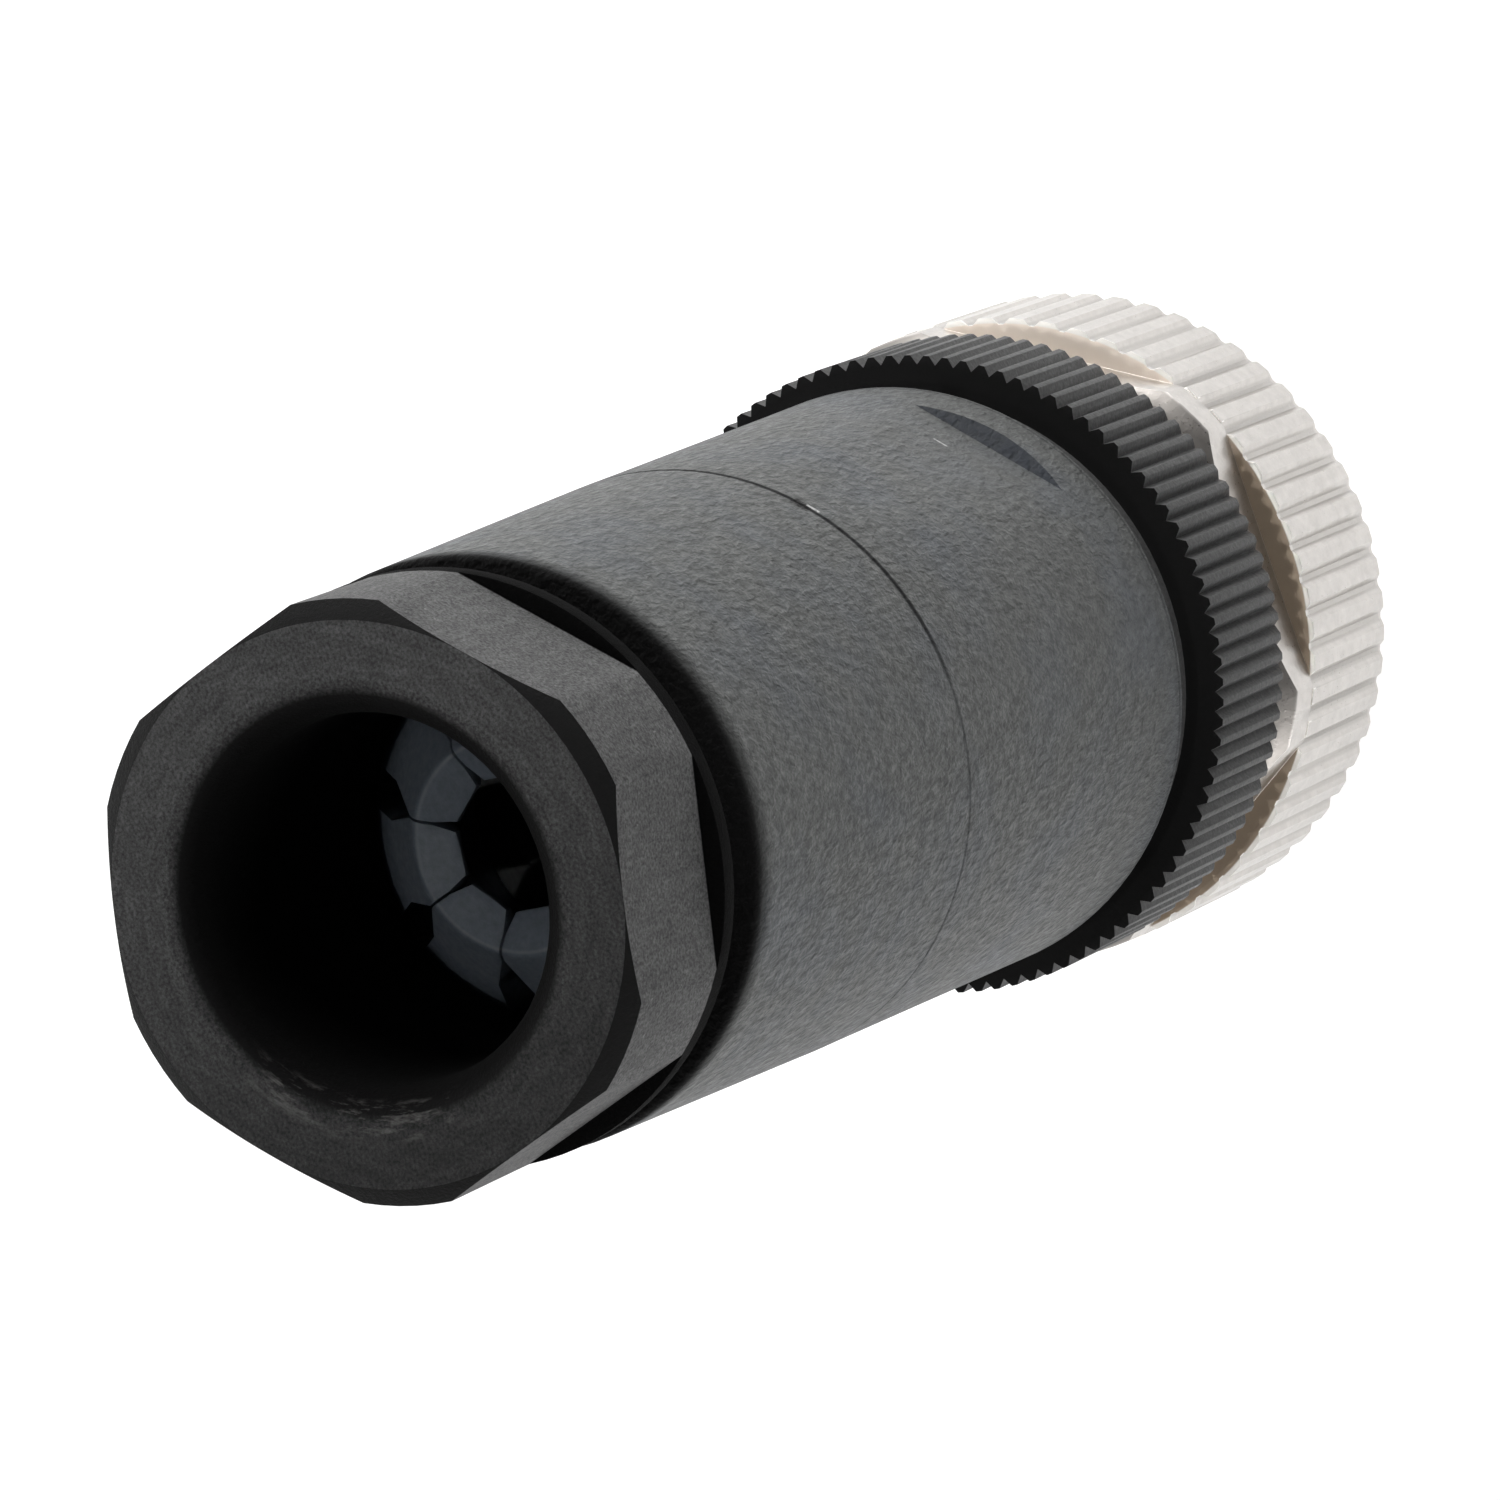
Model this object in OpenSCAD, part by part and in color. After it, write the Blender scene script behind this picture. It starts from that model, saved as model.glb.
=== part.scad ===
// Field-wired M12 cable socket: straight, four contacts, screw terminals.
// It stands on the mating end of its coupling nut, and the cable goes in at the top.
// Millimetres. Z = 0 is the mating end and +Z runs along the axis to the cable entry.
// Angles are counted about +Z from +X.

/* [Coupling nut] */
// Diameter over the knurl teeth
nut_d = 20.5; // [19.8:0.1:22]
// Number of knurl teeth
nut_teeth = 60; // [48:1:72]
// Depth of a knurl tooth
nut_tooth = 0.2; // [0.1:0.05:0.5]
// Share of the pitch that the flat crest of a tooth takes
nut_crest = 0.45; // [0.3:0.05:0.6]
// Share of the pitch that the floor between two teeth takes
nut_valley = 0.15; // [0.05:0.05:0.3]
// Length of the knurled grip
knurl_len = 6.3; // [4.5:0.1:8]
// Chamfer at the mating end of the knurl
nut_front_chamfer = 0.5; // [0.2:0.05:0.8]
// Size across the flats of the hexagon
nut_hex = 18.5; // [18:0.1:19]
// Step from the knurl down to the turned corners of the hexagon
nut_corner_step = 0.05; // [0:0.05:0.4]
// Length of the hexagon
nut_hex_len = 1.7; // [1:0.1:3]
// Height of the chamfer behind the hexagon
nut_hex_chamfer = 0.5; // [0.3:0.1:1]
// Angle of one flat of the hexagon
nut_turn = 26; // [0:1:59]
// Diameter of the round collar behind the hexagon
nut_collar_d = 17.2; // [16.6:0.1:17.4]
// Length of the collar that shows in front of the grip ring
nut_collar_show = 0.1; // [0.1:0.1:1.5]
// Length of the collar inside the grip ring
nut_collar_in = 3; // [2.7:0.1:3.6]
// Minor diameter of the M12 x 1 internal thread
m12_minor_d = 10.9; // [10.8:0.05:11]
// Nominal diameter of the internal thread
m12_d = 12; // [11.9:0.05:12.1]
// Thickness of the lip that runs on the neck
nut_lip = 1.4; // [1.1:0.1:1.8]

/* [Grip ring and threaded body] */
// Step from the knurl of the coupling nut down to the teeth of the grip ring
ring_step = 0.2; // [0:0.05:0.4]
// Number of teeth round the grip ring
ring_teeth = 100; // [80:1:120]
// Depth of a tooth of the grip ring
ring_tooth = 0.28; // [0.16:0.04:0.4]
// Chamfer at the front of the grip ring
ring_chamfer = 0.35; // [0.2:0.05:0.5]
// Length of the grip ring
ring_len = 5.1; // [4.6:0.1:7]
// Thickness of the web between the rooms for coupling nut and terminal block
ring_web = 1.2; // [0.8:0.1:1.4]
// Diameter of the neck that carries the coupling nut
neck_d = 13; // [12.8:0.1:13.4]
// Length of the neck in front of the retaining ring
neck_land = 0.9; // [0.7:0.1:1]
// Diameter of the shoulder that the sleeve seats on
shoulder_d = 17.6; // [17:0.1:18]
// Length of that shoulder
shoulder_len = 1.1; // [0.6:0.1:2]
// Major diameter of the thread that holds the sleeve
stub_d = 15.8; // [15.4:0.1:16.2]
// Length of that thread
stub_thread_len = 5.2; // [4:0.1:7]
// Diameter of the room for the terminal block
block_room_d = 13.2; // [13:0.05:13.6]

/* [Contact carrier] */
// Diameter of the mating cylinder
insert_d = 8.2; // [8:0.05:8.3]
// Set-back of the mating cylinder from the end of the coupling nut
insert_setback = 0.3; // [0.1:0.1:1]
// Circle that the four contacts stand on
contact_pcd = 5.2; // [5:0.05:5.4]
// Width of the coding groove
key_w = 1.2; // [0.8:0.1:1.4]
// Depth of the coding groove
key_depth = 0.75; // [0.5:0.05:0.8]
// Angle of the coding groove
key_angle = 130; // [0:1:359]
// Length of the terminal block behind the threaded body
terminal_len = 6; // [5.6:0.1:9]

/* [Contacts and terminals] */
// Bore of a socket contact
socket_bore = 1.04; // [1:0.01:1.08]
// Outer diameter of a socket contact
socket_d = 1.7; // [1.5:0.05:1.8]
// Set-back of the socket from the face of the mating cylinder
socket_setback = 0.6; // [0.4:0.1:1]
// Depth of the bore in a socket
socket_depth = 6; // [5.5:0.1:7]
// Width of the spring slot in a socket
socket_slot = 0.2; // [0.1:0.05:0.3]
// Length of the spring slot
socket_slot_len = 4.5; // [3:0.1:6]
// Tangential width of a wire clamp
clamp_w = 2.9; // [2.6:0.05:2.95]
// Radius of the inner face of a wire clamp
clamp_r0 = 1.75; // [1.7:0.01:1.9]
// Radius of the outer face of a wire clamp
clamp_r1 = 5.3; // [5:0.05:5.4]
// Wall of a wire clamp on the side of the axis
clamp_wall = 0.4; // [0.3:0.05:0.5]
// Thickness of the floor of a wire clamp
clamp_floor = 0.6; // [0.4:0.05:0.8]
// Distance of a wire clamp from the ends of the terminal block
clamp_inset = 0.2; // [0.1:0.05:0.4]
// Width of the chamber for the wire
wire_room_w = 1.7; // [1.4:0.05:1.9]
// Height of the chamber for the wire
wire_room_h = 1.9; // [1.5:0.05:2]
// Thickness of a wire guard
guard_t = 0.2; // [0.15:0.05:0.25]
// Distance of the edge of a wire guard from the end of its clamp
guard_inset = 0.3; // [0.1:0.05:0.6]
// Clearance of a wire guard from the sides of its chamber
guard_room = 0.1; // [0.05:0.05:0.2]
// Major diameter of a terminal screw
screw_d = 2; // [1.8:0.1:2]
// Diameter of its head
screw_head_d = 3.2; // [2.8:0.1:3.3]
// Height of its head
screw_head_h = 1; // [0.8:0.05:1.1]
// Clearance round that head in the terminal block
screw_room = 0.1; // [0.05:0.05:0.15]
// Width of the slot in the head
screw_slot = 0.4; // [0.3:0.05:0.6]

/* [Rings and seals] */
// Thickness of the retaining ring
snap_t = 0.8; // [0.6:0.05:0.9]
// Outer diameter of the retaining ring
snap_d = 14.4; // [14:0.1:14.5]
// Inner diameter of the retaining ring
snap_bore = 11.9; // [11.6:0.1:12]
// Clearance of the retaining ring from the floor of its groove
snap_room = 0.6; // [0.3:0.1:0.7]
// Angle of the opening in the retaining ring
snap_open = 40; // [20:1:60]
// Cord diameter of the face seal
face_cord = 1.1; // [0.9:0.05:1.15]
// Cord diameter of the seal between body and sleeve
sleeve_cord = 0.9; // [0.8:0.05:1]
// Room beside that cord in its groove
groove_slack = 0.5; // [0.3:0.1:0.5]
// Depth of the groove
groove_depth = 0.6; // [0.4:0.05:0.65]
// Wall between the groove and the shoulder, and between groove and thread
groove_wall = 0.3; // [0.2:0.05:0.4]

/* [Sleeve] */
// Diameter at the front end
sleeve_front_d = 18.5; // [18.3:0.1:20]
// Diameter at the mould line
sleeve_line_d = 18; // [17.9:0.02:18.6]
// Diameter at the rear end
sleeve_rear_d = 17.3; // [17:0.1:17.8]
// Distance of the mould line from the front end
sleeve_line = 15.4; // [12:0.1:18]
// Width of the mould line
sleeve_line_w = 0.12; // [0.06:0.02:0.3]
// Depth of the mould line
sleeve_line_depth = 0.05; // [0.02:0.01:0.1]
// Chamfer of the front edge
sleeve_chamfer = 0.25; // [0.1:0.05:0.5]
// Rounding of the rear edge
sleeve_round = 0.2; // [0.15:0.05:0.6]
// Distance between the two spanner flats at their front end
sleeve_flats = 17.64; // [17.4:0.02:18.2]
// Depth of the spanner flats at the mould line, where they run out
sleeve_flat_out = 0.02; // [0:0.01:0.06]
// Length of the slope from the surface down to a flat
sleeve_flat_slope = 0.5; // [0.2:0.1:1]
// Distance of that slope from the front end
sleeve_flat_start = 1.9; // [1.5:0.1:6]
// Angle of one spanner flat
sleeve_turn = -50; // [-180:1:180]
// Length of bore that the gland nut can still go in after it meets the cage
sleeve_undercut = 1.4; // [1:0.1:1.6]
// Clearance round the terminal block
wire_room = 0.7; // [0.4:0.1:0.9]
// Space between the terminal block and the floor under the cable seal
wire_space = 0.9; // [0.5:0.1:4]
// Thickness of the floor under the cable seal
floor_t = 1.2; // [0.8:0.1:3]
// Diameter of the way through the floor
floor_bore = 8; // [6:0.1:9]

/* [Cable seal and clamping cage] */
// Step from the ring of the cage down to the cable seal
seal_step = 0; // [0:0.05:0.3]
// Bore of the cable seal
seal_bore = 5.4; // [4:0.1:6.5]
// Length of the cable seal
seal_len = 5.1; // [4:0.1:7]
// Funnel at the mouth of that bore
seal_mouth = 0.8; // [0.3:0.1:1]
// Height of the taper at the foot of the cable seal
seal_foot = 0.8; // [0.3:0.1:1.2]
// Outer diameter of the ring of the cage
cage_d = 12.6; // [12.4:0.1:12.6]
// Bore of the ring of the cage
cage_bore = 9.2; // [8.6:0.1:9.6]
// Height of the ring of the cage
cage_ring_h = 2; // [1.4:0.1:2.6]
// Height of the straight root of the fingers
cage_root_h = 1.6; // [1:0.1:2.4]
// Number of fingers
cage_fingers = 8; // [6:1:12]
// Diameter of the round ridge that the fingers make
cage_ridge_d = 6.2; // [5.6:0.1:7]
// Diameter over the corners of the opening between the finger tips
cage_tip_d = 4.2; // [2.8:0.1:4.4]
// Thickness of the finger tips
cage_tip_wall = 0.15; // [0.1:0.05:0.6]
// Drop of the finger tips below the ridge
cage_tip_drop = 0.55; // [0.2:0.05:1]
// Rounding of the ridge
cage_round = 0.3; // [0.1:0.05:0.4]
// Step between the ring and the fingers
cage_edge = 0.15; // [0.05:0.05:0.2]
// Distance of the slits from the ring
cage_slit_start = 0.3; // [0.1:0.1:0.8]
// Wall of a finger
cage_wall = 1.1; // [0.8:0.05:1.4]
// Width of the slit where two fingers all but meet
cage_slit = 0.08; // [0.05:0.01:0.2]
// Width of the slit from the ring up
cage_slit_root = 1.2; // [0.6:0.05:1.6]
// Width of the notch between two finger tips
cage_slit_tip = 0.3; // [0.1:0.05:0.6]
// Length of that notch
cage_notch = 0.55; // [0.2:0.05:0.8]
// Distance from the ridge out to where the slit starts to open
cage_waist = 0.4; // [0.2:0.05:1.2]
// Distance over which it opens
cage_flare = 1.1; // [0.5:0.1:1.6]
// Angle of one slit
cage_turn = 12; // [0:1:44]

/* [Gland nut] */
// Size across the flats
gland_af = 16; // [15.6:0.1:16.6]
// Diameter over the rounded corners and over the collar
gland_d = 17.1; // [16.8:0.1:17.8]
// Angle of one flat
gland_turn = 12; // [0:1:59]
// Length of the flats
gland_flats_len = 5.1; // [4:0.1:8]
// Thickness of the collar
gland_collar = 0.6; // [0.4:0.05:1.2]
// Gap between collar and sleeve, which tightening closes
gland_gap = 1.4; // [0.2:0.1:2]
// Major diameter of the thread
gland_thread_d = 13.8; // [13.6:0.1:14.2]
// Length of the threaded spigot
spigot_len = 6.1; // [5:0.1:8]
// Length of the relief between collar and thread
gland_relief = 0.6; // [0.3:0.1:1]
// Bore for the cable
gland_bore = 10.5; // [9.8:0.1:10.6]
// Length of that bore with its rounded mouth
gland_bore_len = 8.2; // [6:0.1:8.4]
// Wider bore behind it that takes the fingers of the cage
gland_room = 10.9; // [10.7:0.1:11.1]
// Rounding of the mouth of the bore
gland_lip = 1.15; // [0.6:0.05:1.4]
// Width of the chamfer round the rear face
gland_chamfer = 0.55; // [0.3:0.05:0.9]
// Height of that chamfer
gland_chamfer_h = 0.35; // [0.2:0.05:0.6]

/* [Fits] */
// Radial clearance of threads and running fits
run_gap = 0.05; // [0.02:0.01:0.09]
// Radial clearance of pieces that stay put
seat_gap = 0.03; // [0.02:0.01:0.06]
// Clearance of loose pieces from moving ones
free_gap = 0.15; // [0.12:0.01:0.25]
// Axial play of the coupling nut
nut_play = 0.1; // [0.05:0.01:0.2]
// Axial clearance of the cage from seal and gland nut
cage_play = 0.1; // [0.05:0.01:0.2]
// Chamfer of small edges
edge = 0.2; // [0.1:0.05:0.25]
// Chamfer where a thread begins
thread_edge = 0.4; // [0.2:0.05:0.4]

/* [Hidden] */
$fn = 72;
eps = 0.01;

// Colours
metal = "#d2cbc5";
steel = "#b9bcbf";
brass = "#c9a24b";
black = "#27292b";
charcoal = "#46494c";
rubber = "#1b1c1d";
bluegrey = "#5f6b78";

// Levels, stacked from the mating end
z_ring0 = knurl_len + nut_hex_len + nut_collar_show;
z_ring1 = z_ring0 + ring_len;
z_nut1 = z_ring0 + nut_collar_in;
z_neck1 = z_nut1 + free_gap;
z_lip0 = z_nut1 - nut_lip;
z_snap1 = z_lip0 - nut_play;
z_snap0 = z_snap1 - snap_t;
z_neck0 = z_snap0 - neck_land;
z_thread1 = z_neck0 - nut_play;
z_floor = z_neck1 + ring_web;
z_sleeve0 = z_ring1 + shoulder_len;
seal_groove_len = sleeve_cord + groove_slack;
z_groove0 = z_sleeve0 + groove_wall;
z_stub0 = z_groove0 + seal_groove_len + groove_wall;
z_stub1 = z_stub0 + stub_thread_len;
z_block1 = z_stub1 + terminal_len;
z_floor0 = z_block1 + wire_space;
z_seat = z_floor0 + floor_t;
z_cage0 = z_seat + seal_len + cage_play;
z_root = z_cage0 + cage_ring_h;
z_cone0 = z_root + cage_root_h;
z_spigot0 = z_cone0 + cage_play;
z_collar0 = z_spigot0 + spigot_len;
z_sleeve1 = z_collar0 - gland_gap;
z_flats0 = z_collar0 + gland_collar;
z_top = z_flats0 + gland_flats_len;

// Radii shared by mating pieces
ring_r = nut_d / 2 - ring_step;
neck_r = neck_d / 2;
snap_groove_r = snap_bore / 2 - snap_room;
snap_room_r = snap_d / 2 + free_gap;
ring_room_r = nut_collar_d / 2 + free_gap;
insert_r = insert_d / 2;
stub_r = stub_d / 2;
block_r = block_room_d / 2 - run_gap;
groove_r = stub_r - groove_depth;
seal_room_r = groove_r + sleeve_cord + free_gap;
seat_r = cage_d / 2 + free_gap;
gland_r = gland_thread_d / 2;
contact_r = contact_pcd / 2;
contact_angles = [for (i = [0:3]) key_angle + 45 + 90 * i];
z_socket0 = insert_setback + socket_setback;
z_clamp0 = z_stub1 + clamp_inset;
z_clamp1 = z_block1 - clamp_inset;
z_screw = (z_clamp0 + z_clamp1) / 2;
wire_r0 = clamp_r0 + clamp_wall;
wire_r1 = wire_r0 + wire_room_h;

// Points of an arc about c, from angle a0 to a1 in n steps
function arc(c, r, a0, a1, n = 8) =
    [for (i = [0:n]) let (a = a0 + (a1 - a0) * i / n) [c[0] + r * cos(a), c[1] + r * sin(a)]];

// Outline of a straight knurl with sharp grooves: crest flat, then a V
function vee_knurl(r, depth, teeth, crest = 0.16) =
    [for (i = [0:teeth - 1], p = [[-crest, 0], [crest, 0], [0.5, depth]])
        let (a = 360 * (i + p[0]) / teeth) [(r - p[1]) * cos(a), (r - p[1]) * sin(a)]];

// Outline of a straight knurl with flat crests and flat floors between them, as shares of the pitch
function flat_knurl(r, depth, teeth, crest, valley) =
    [for (i = [0:teeth - 1], p = [[-crest / 2, 0], [crest / 2, 0], [0.5 - valley / 2, depth],
                                  [0.5 + valley / 2, depth]])
        let (a = 360 * (i + p[0]) / teeth) [(r - p[1]) * cos(a), (r - p[1]) * sin(a)]];

module ring_bar(r0, r1, z0, z1) {
    translate([0, 0, z0])
        difference() {
            cylinder(r = r1, h = z1 - z0);
            translate([0, 0, -1]) cylinder(r = r0, h = z1 - z0 + 2);
        }
}

module hex_bar(af, z0, z1, turn) {
    rotate(turn + 30)
        translate([0, 0, z0])
            cylinder(r = af / 2 / cos(30), h = z1 - z0, $fn = 6);
}

module o_ring(r, cord, z) {
    rotate_extrude()
        translate([r, z]) circle(d = cord, $fn = 24);
}

// Knurled grip in front, chamfered hexagon behind it, and a round collar that
// goes into the grip ring.
module coupling_nut() {
    tip = nut_d / 2;
    root = tip - nut_tooth;
    corner = tip - nut_corner_step;
    collar = nut_collar_d / 2;
    mouth = m12_d / 2 + edge;
    z_hex1 = knurl_len + nut_hex_len;
    color(metal)
        difference() {
            union() {
                intersection() {
                    rotate(nut_turn + 180 / nut_teeth)
                        linear_extrude(knurl_len)
                            polygon(flat_knurl(tip, nut_tooth, nut_teeth, nut_crest, nut_valley));
                    rotate_extrude()
                        polygon([[0, 0], [tip - nut_front_chamfer, 0], [tip + eps, nut_front_chamfer + eps],
                                 [tip + eps, knurl_len], [0, knurl_len]]);
                }
                intersection() {
                    hex_bar(nut_hex, knurl_len - eps, z_hex1, nut_turn);
                    rotate_extrude()
                        polygon([[0, 0], [corner, 0], [corner, z_hex1 - nut_hex_chamfer],
                                 [corner - nut_hex_chamfer, z_hex1], [0, z_hex1]]);
                }
                translate([0, 0, knurl_len]) cylinder(r = collar, h = z_nut1 - knurl_len);
            }
            rotate_extrude()
                polygon([[0, -1], [mouth, -1], [mouth, 0], [m12_minor_d / 2, mouth - m12_minor_d / 2],
                         [m12_minor_d / 2, z_thread1], [snap_room_r, z_thread1], [snap_room_r, z_lip0],
                         [neck_r + run_gap, z_lip0], [neck_r + run_gap, z_nut1 + 1], [0, z_nut1 + 1]]);
        }
}

// Open spring ring in the groove of the neck. It keeps the coupling nut on.
module retaining_ring() {
    color(steel)
        rotate(snap_open / 2)
            rotate_extrude(angle = 360 - snap_open)
                translate([snap_bore / 2, z_snap0])
                    square([(snap_d - snap_bore) / 2, snap_t]);
}

// O-ring round the root of the mating cylinder
module face_seal() {
    color(rubber)
        o_ring(insert_r + seat_gap + face_cord / 2, face_cord, z_neck0 - face_cord / 2);
}

// Grip ring with the neck in front of it and the threaded tube behind it
module body_ring() {
    color(black)
        difference() {
            union() {
                difference() {
                    union() {
                        intersection() {
                            translate([0, 0, z_ring0])
                                linear_extrude(ring_len) polygon(vee_knurl(ring_r, ring_tooth, ring_teeth));
                            rotate_extrude()
                                polygon([[0, z_ring0], [ring_r - ring_chamfer, z_ring0],
                                         [ring_r + eps, z_ring0 + ring_chamfer + eps],
                                         [ring_r + eps, z_ring1], [0, z_ring1]]);
                        }
                        rotate_extrude() polygon(stub_outline());
                    }
                    translate([0, 0, z_ring0 - 1]) cylinder(r = ring_room_r, h = z_neck1 - z_ring0 + 1);
                }
                rotate_extrude() polygon(neck_outline());
            }
            body_bore();
        }
}

// Shoulder, groove for the sleeve seal, and thread
function stub_outline() =
    [[0, z_neck1], [shoulder_d / 2, z_neck1], [shoulder_d / 2, z_sleeve0], [stub_r, z_sleeve0],
     [stub_r, z_groove0], [groove_r, z_groove0], [groove_r, z_groove0 + seal_groove_len],
     [stub_r, z_groove0 + seal_groove_len], [stub_r, z_stub1 - thread_edge], [stub_r - thread_edge, z_stub1],
     [0, z_stub1]];

// Neck with the groove for the retaining ring
function neck_outline() =
    [[0, z_neck0], [neck_r - edge, z_neck0], [neck_r, z_neck0 + edge], [neck_r, z_snap0 - seat_gap],
     [snap_groove_r, z_snap0 - seat_gap], [snap_groove_r, z_snap1 + seat_gap], [neck_r, z_snap1 + seat_gap],
     [neck_r, z_neck1 + ring_web / 2], [0, z_neck1 + ring_web / 2]];

module body_bore() {
    rotate_extrude()
        polygon([[0, z_neck0 - 1], [insert_r + seat_gap, z_neck0 - 1], [insert_r + seat_gap, z_floor],
                 [block_r + run_gap, z_floor], [block_r + run_gap, z_stub1 + 1], [0, z_stub1 + 1]]);
}

// Mating cylinder with coding groove and contact holes, and the terminal block behind it
module contact_carrier() {
    color(black)
        difference() {
            rotate_extrude()
                polygon([[0, insert_setback], [insert_r - edge, insert_setback],
                         [insert_r, insert_setback + edge], [insert_r, z_floor], [block_r, z_floor],
                         [block_r, z_block1 - edge], [block_r - edge, z_block1], [0, z_block1]]);
            rotate(key_angle)
                translate([insert_r - key_depth, -key_w / 2, insert_setback - 1])
                    cube([2, key_w, z_neck0 - face_cord - insert_setback]);
            for (a = contact_angles)
                rotate(a) contact_room();
        }
}

// Room for one contact, its clamp and its screw, with the contact towards +X
module contact_room() {
    translate([contact_r, 0, insert_setback - 1]) cylinder(d = socket_bore + edge, h = 3);
    translate([contact_r, 0, z_socket0 - seat_gap])
        cylinder(r = socket_d / 2 + seat_gap, h = z_clamp0 - z_socket0 + 1);
    translate([clamp_r0 - seat_gap, -clamp_w / 2 - seat_gap, z_clamp0 - seat_gap])
        cube([clamp_r1 - clamp_r0 + 2 * seat_gap, clamp_w + 2 * seat_gap, z_block1 - z_clamp0 + 1]);
    translate([clamp_r0, 0, z_screw])
        rotate([0, 90, 0]) cylinder(r = screw_head_d / 2 + screw_room, h = block_r);
}

// Slotted socket in front and a wire clamp behind, in one turned and milled piece
module contact(a) {
    color(brass)
        rotate(a)
            difference() {
                union() {
                    translate([contact_r, 0, z_socket0])
                        cylinder(d = socket_d, h = z_clamp0 - z_socket0 + eps);
                    translate([clamp_r0, -clamp_w / 2, z_clamp0])
                        cube([clamp_r1 - clamp_r0, clamp_w, z_clamp1 - z_clamp0]);
                }
                translate([contact_r, 0, z_socket0 - 1]) cylinder(d = socket_bore, h = socket_depth + 1);
                translate([contact_r - socket_slot / 2, -socket_d, z_socket0 - 1])
                    cube([socket_slot, 2 * socket_d, socket_slot_len + 1]);
                translate([wire_r0, -wire_room_w / 2, z_clamp0 + clamp_floor])
                    cube([wire_room_h, wire_room_w, z_clamp1]);
                translate([wire_r0 + wire_room_h / 2, 0, z_screw])
                    rotate([0, 90, 0]) cylinder(r = screw_d / 2 + seat_gap, h = clamp_r1);
            }
}

// Bent spring leaf between screw and wire
module wire_guard(a) {
    w = wire_room_w - 2 * guard_room;
    r0 = wire_r0 + seat_gap;
    r1 = wire_r1 - seat_gap;
    z0 = z_clamp0 + clamp_floor + seat_gap;
    z1 = z_clamp1 - guard_inset;
    color(steel)
        rotate(a)
            translate([0, w / 2, 0])
                rotate([90, 0, 0])
                    linear_extrude(w)
                        polygon([[r0, z0], [r1, z0], [r1, z1], [r1 - guard_t, z1],
                                 [r1 - guard_t, z0 + guard_t], [r0 + guard_t, z0 + guard_t],
                                 [r0 + guard_t, z1], [r0, z1]]);
}

// Four slotted screws that press the guards on the wires
module terminal_screws() {
    tip = wire_r1;
    color(steel)
        for (a = contact_angles)
            rotate(a)
                translate([0, 0, z_screw])
                    rotate([0, 90, 0])
                        difference() {
                            union() {
                                translate([0, 0, tip])
                                    cylinder(d = screw_d, h = clamp_r1 + seat_gap - tip + eps);
                                translate([0, 0, clamp_r1 + seat_gap])
                                    cylinder(d = screw_head_d, h = screw_head_h);
                            }
                            translate([-screw_head_d, -screw_slot / 2, clamp_r1 + screw_head_h / 2])
                                cube([2 * screw_head_d, screw_slot, screw_head_h]);
                        }
}

// O-ring in the groove of the threaded body
module sleeve_seal() {
    color(rubber)
        o_ring(groove_r + seat_gap + sleeve_cord / 2, sleeve_cord, z_groove0 + seal_groove_len / 2);
}

// Tapered outer housing, moulded in two tapers that meet at the mould line
module sleeve() {
    r0 = sleeve_front_d / 2;
    r1 = sleeve_line_d / 2;
    r2 = sleeve_rear_d / 2;
    z_line = z_sleeve0 + sleeve_line;
    half = sleeve_line_w / 2;
    room_r = block_r + wire_room;
    thread_r = gland_r + run_gap;
    z_thread0 = z_cone0 - sleeve_undercut;
    color(charcoal)
        difference() {
            rotate_extrude()
                polygon(concat(
                    [[seal_room_r, z_sleeve0], [r0 - sleeve_chamfer, z_sleeve0],
                     [r0, z_sleeve0 + sleeve_chamfer], [r1, z_line - half],
                     [r1 - sleeve_line_depth, z_line], [r1, z_line + half]],
                    arc([r2 - sleeve_round, z_sleeve1 - sleeve_round], sleeve_round, 0, 90, 6),
                    [[thread_r + thread_edge, z_sleeve1], [thread_r, z_sleeve1 - thread_edge],
                     [thread_r, z_thread0], [seat_r, z_thread0 - thread_r + seat_r], [seat_r, z_seat],
                     [floor_bore / 2, z_seat], [floor_bore / 2, z_floor0], [room_r, z_floor0],
                     [room_r, z_stub1 + edge], [stub_r + run_gap, z_stub1 + edge],
                     [stub_r + run_gap, z_stub0 - 0.1], [seal_room_r, z_stub0 - 0.1 - edge]]));
            for (a = [0, 180])
                rotate(sleeve_turn + a) sleeve_flat();
        }
}

// What a spanner flat takes away at +X: a slope in front, then a plane that leans out to
// the mould line
module sleeve_flat() {
    r0 = sleeve_front_d / 2;
    r1 = sleeve_line_d / 2 - sleeve_flat_out;
    x0 = sleeve_flats / 2;
    z0 = z_sleeve0 + sleeve_flat_start;
    z_line = z_sleeve0 + sleeve_line;
    translate([0, r0, 0])
        rotate([90, 0, 0])
            linear_extrude(2 * r0)
                polygon([[r0, z0], [x0, z0 + sleeve_flat_slope], [r1, z_line], [r0, z_line]]);
}

// Soft bushing that the cage squeezes on the cable
module cable_seal() {
    r = cage_d / 2 - seal_step;
    color(rubber)
        rotate_extrude()
            polygon([[seal_bore / 2, z_seat], [r - seal_foot / 2, z_seat], [r, z_seat + seal_foot],
                     [r, z_seat + seal_len],
                     [seal_bore / 2 + seal_mouth, z_seat + seal_len],
                     [seal_bore / 2, z_seat + seal_len - seal_mouth]]);
}

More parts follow.
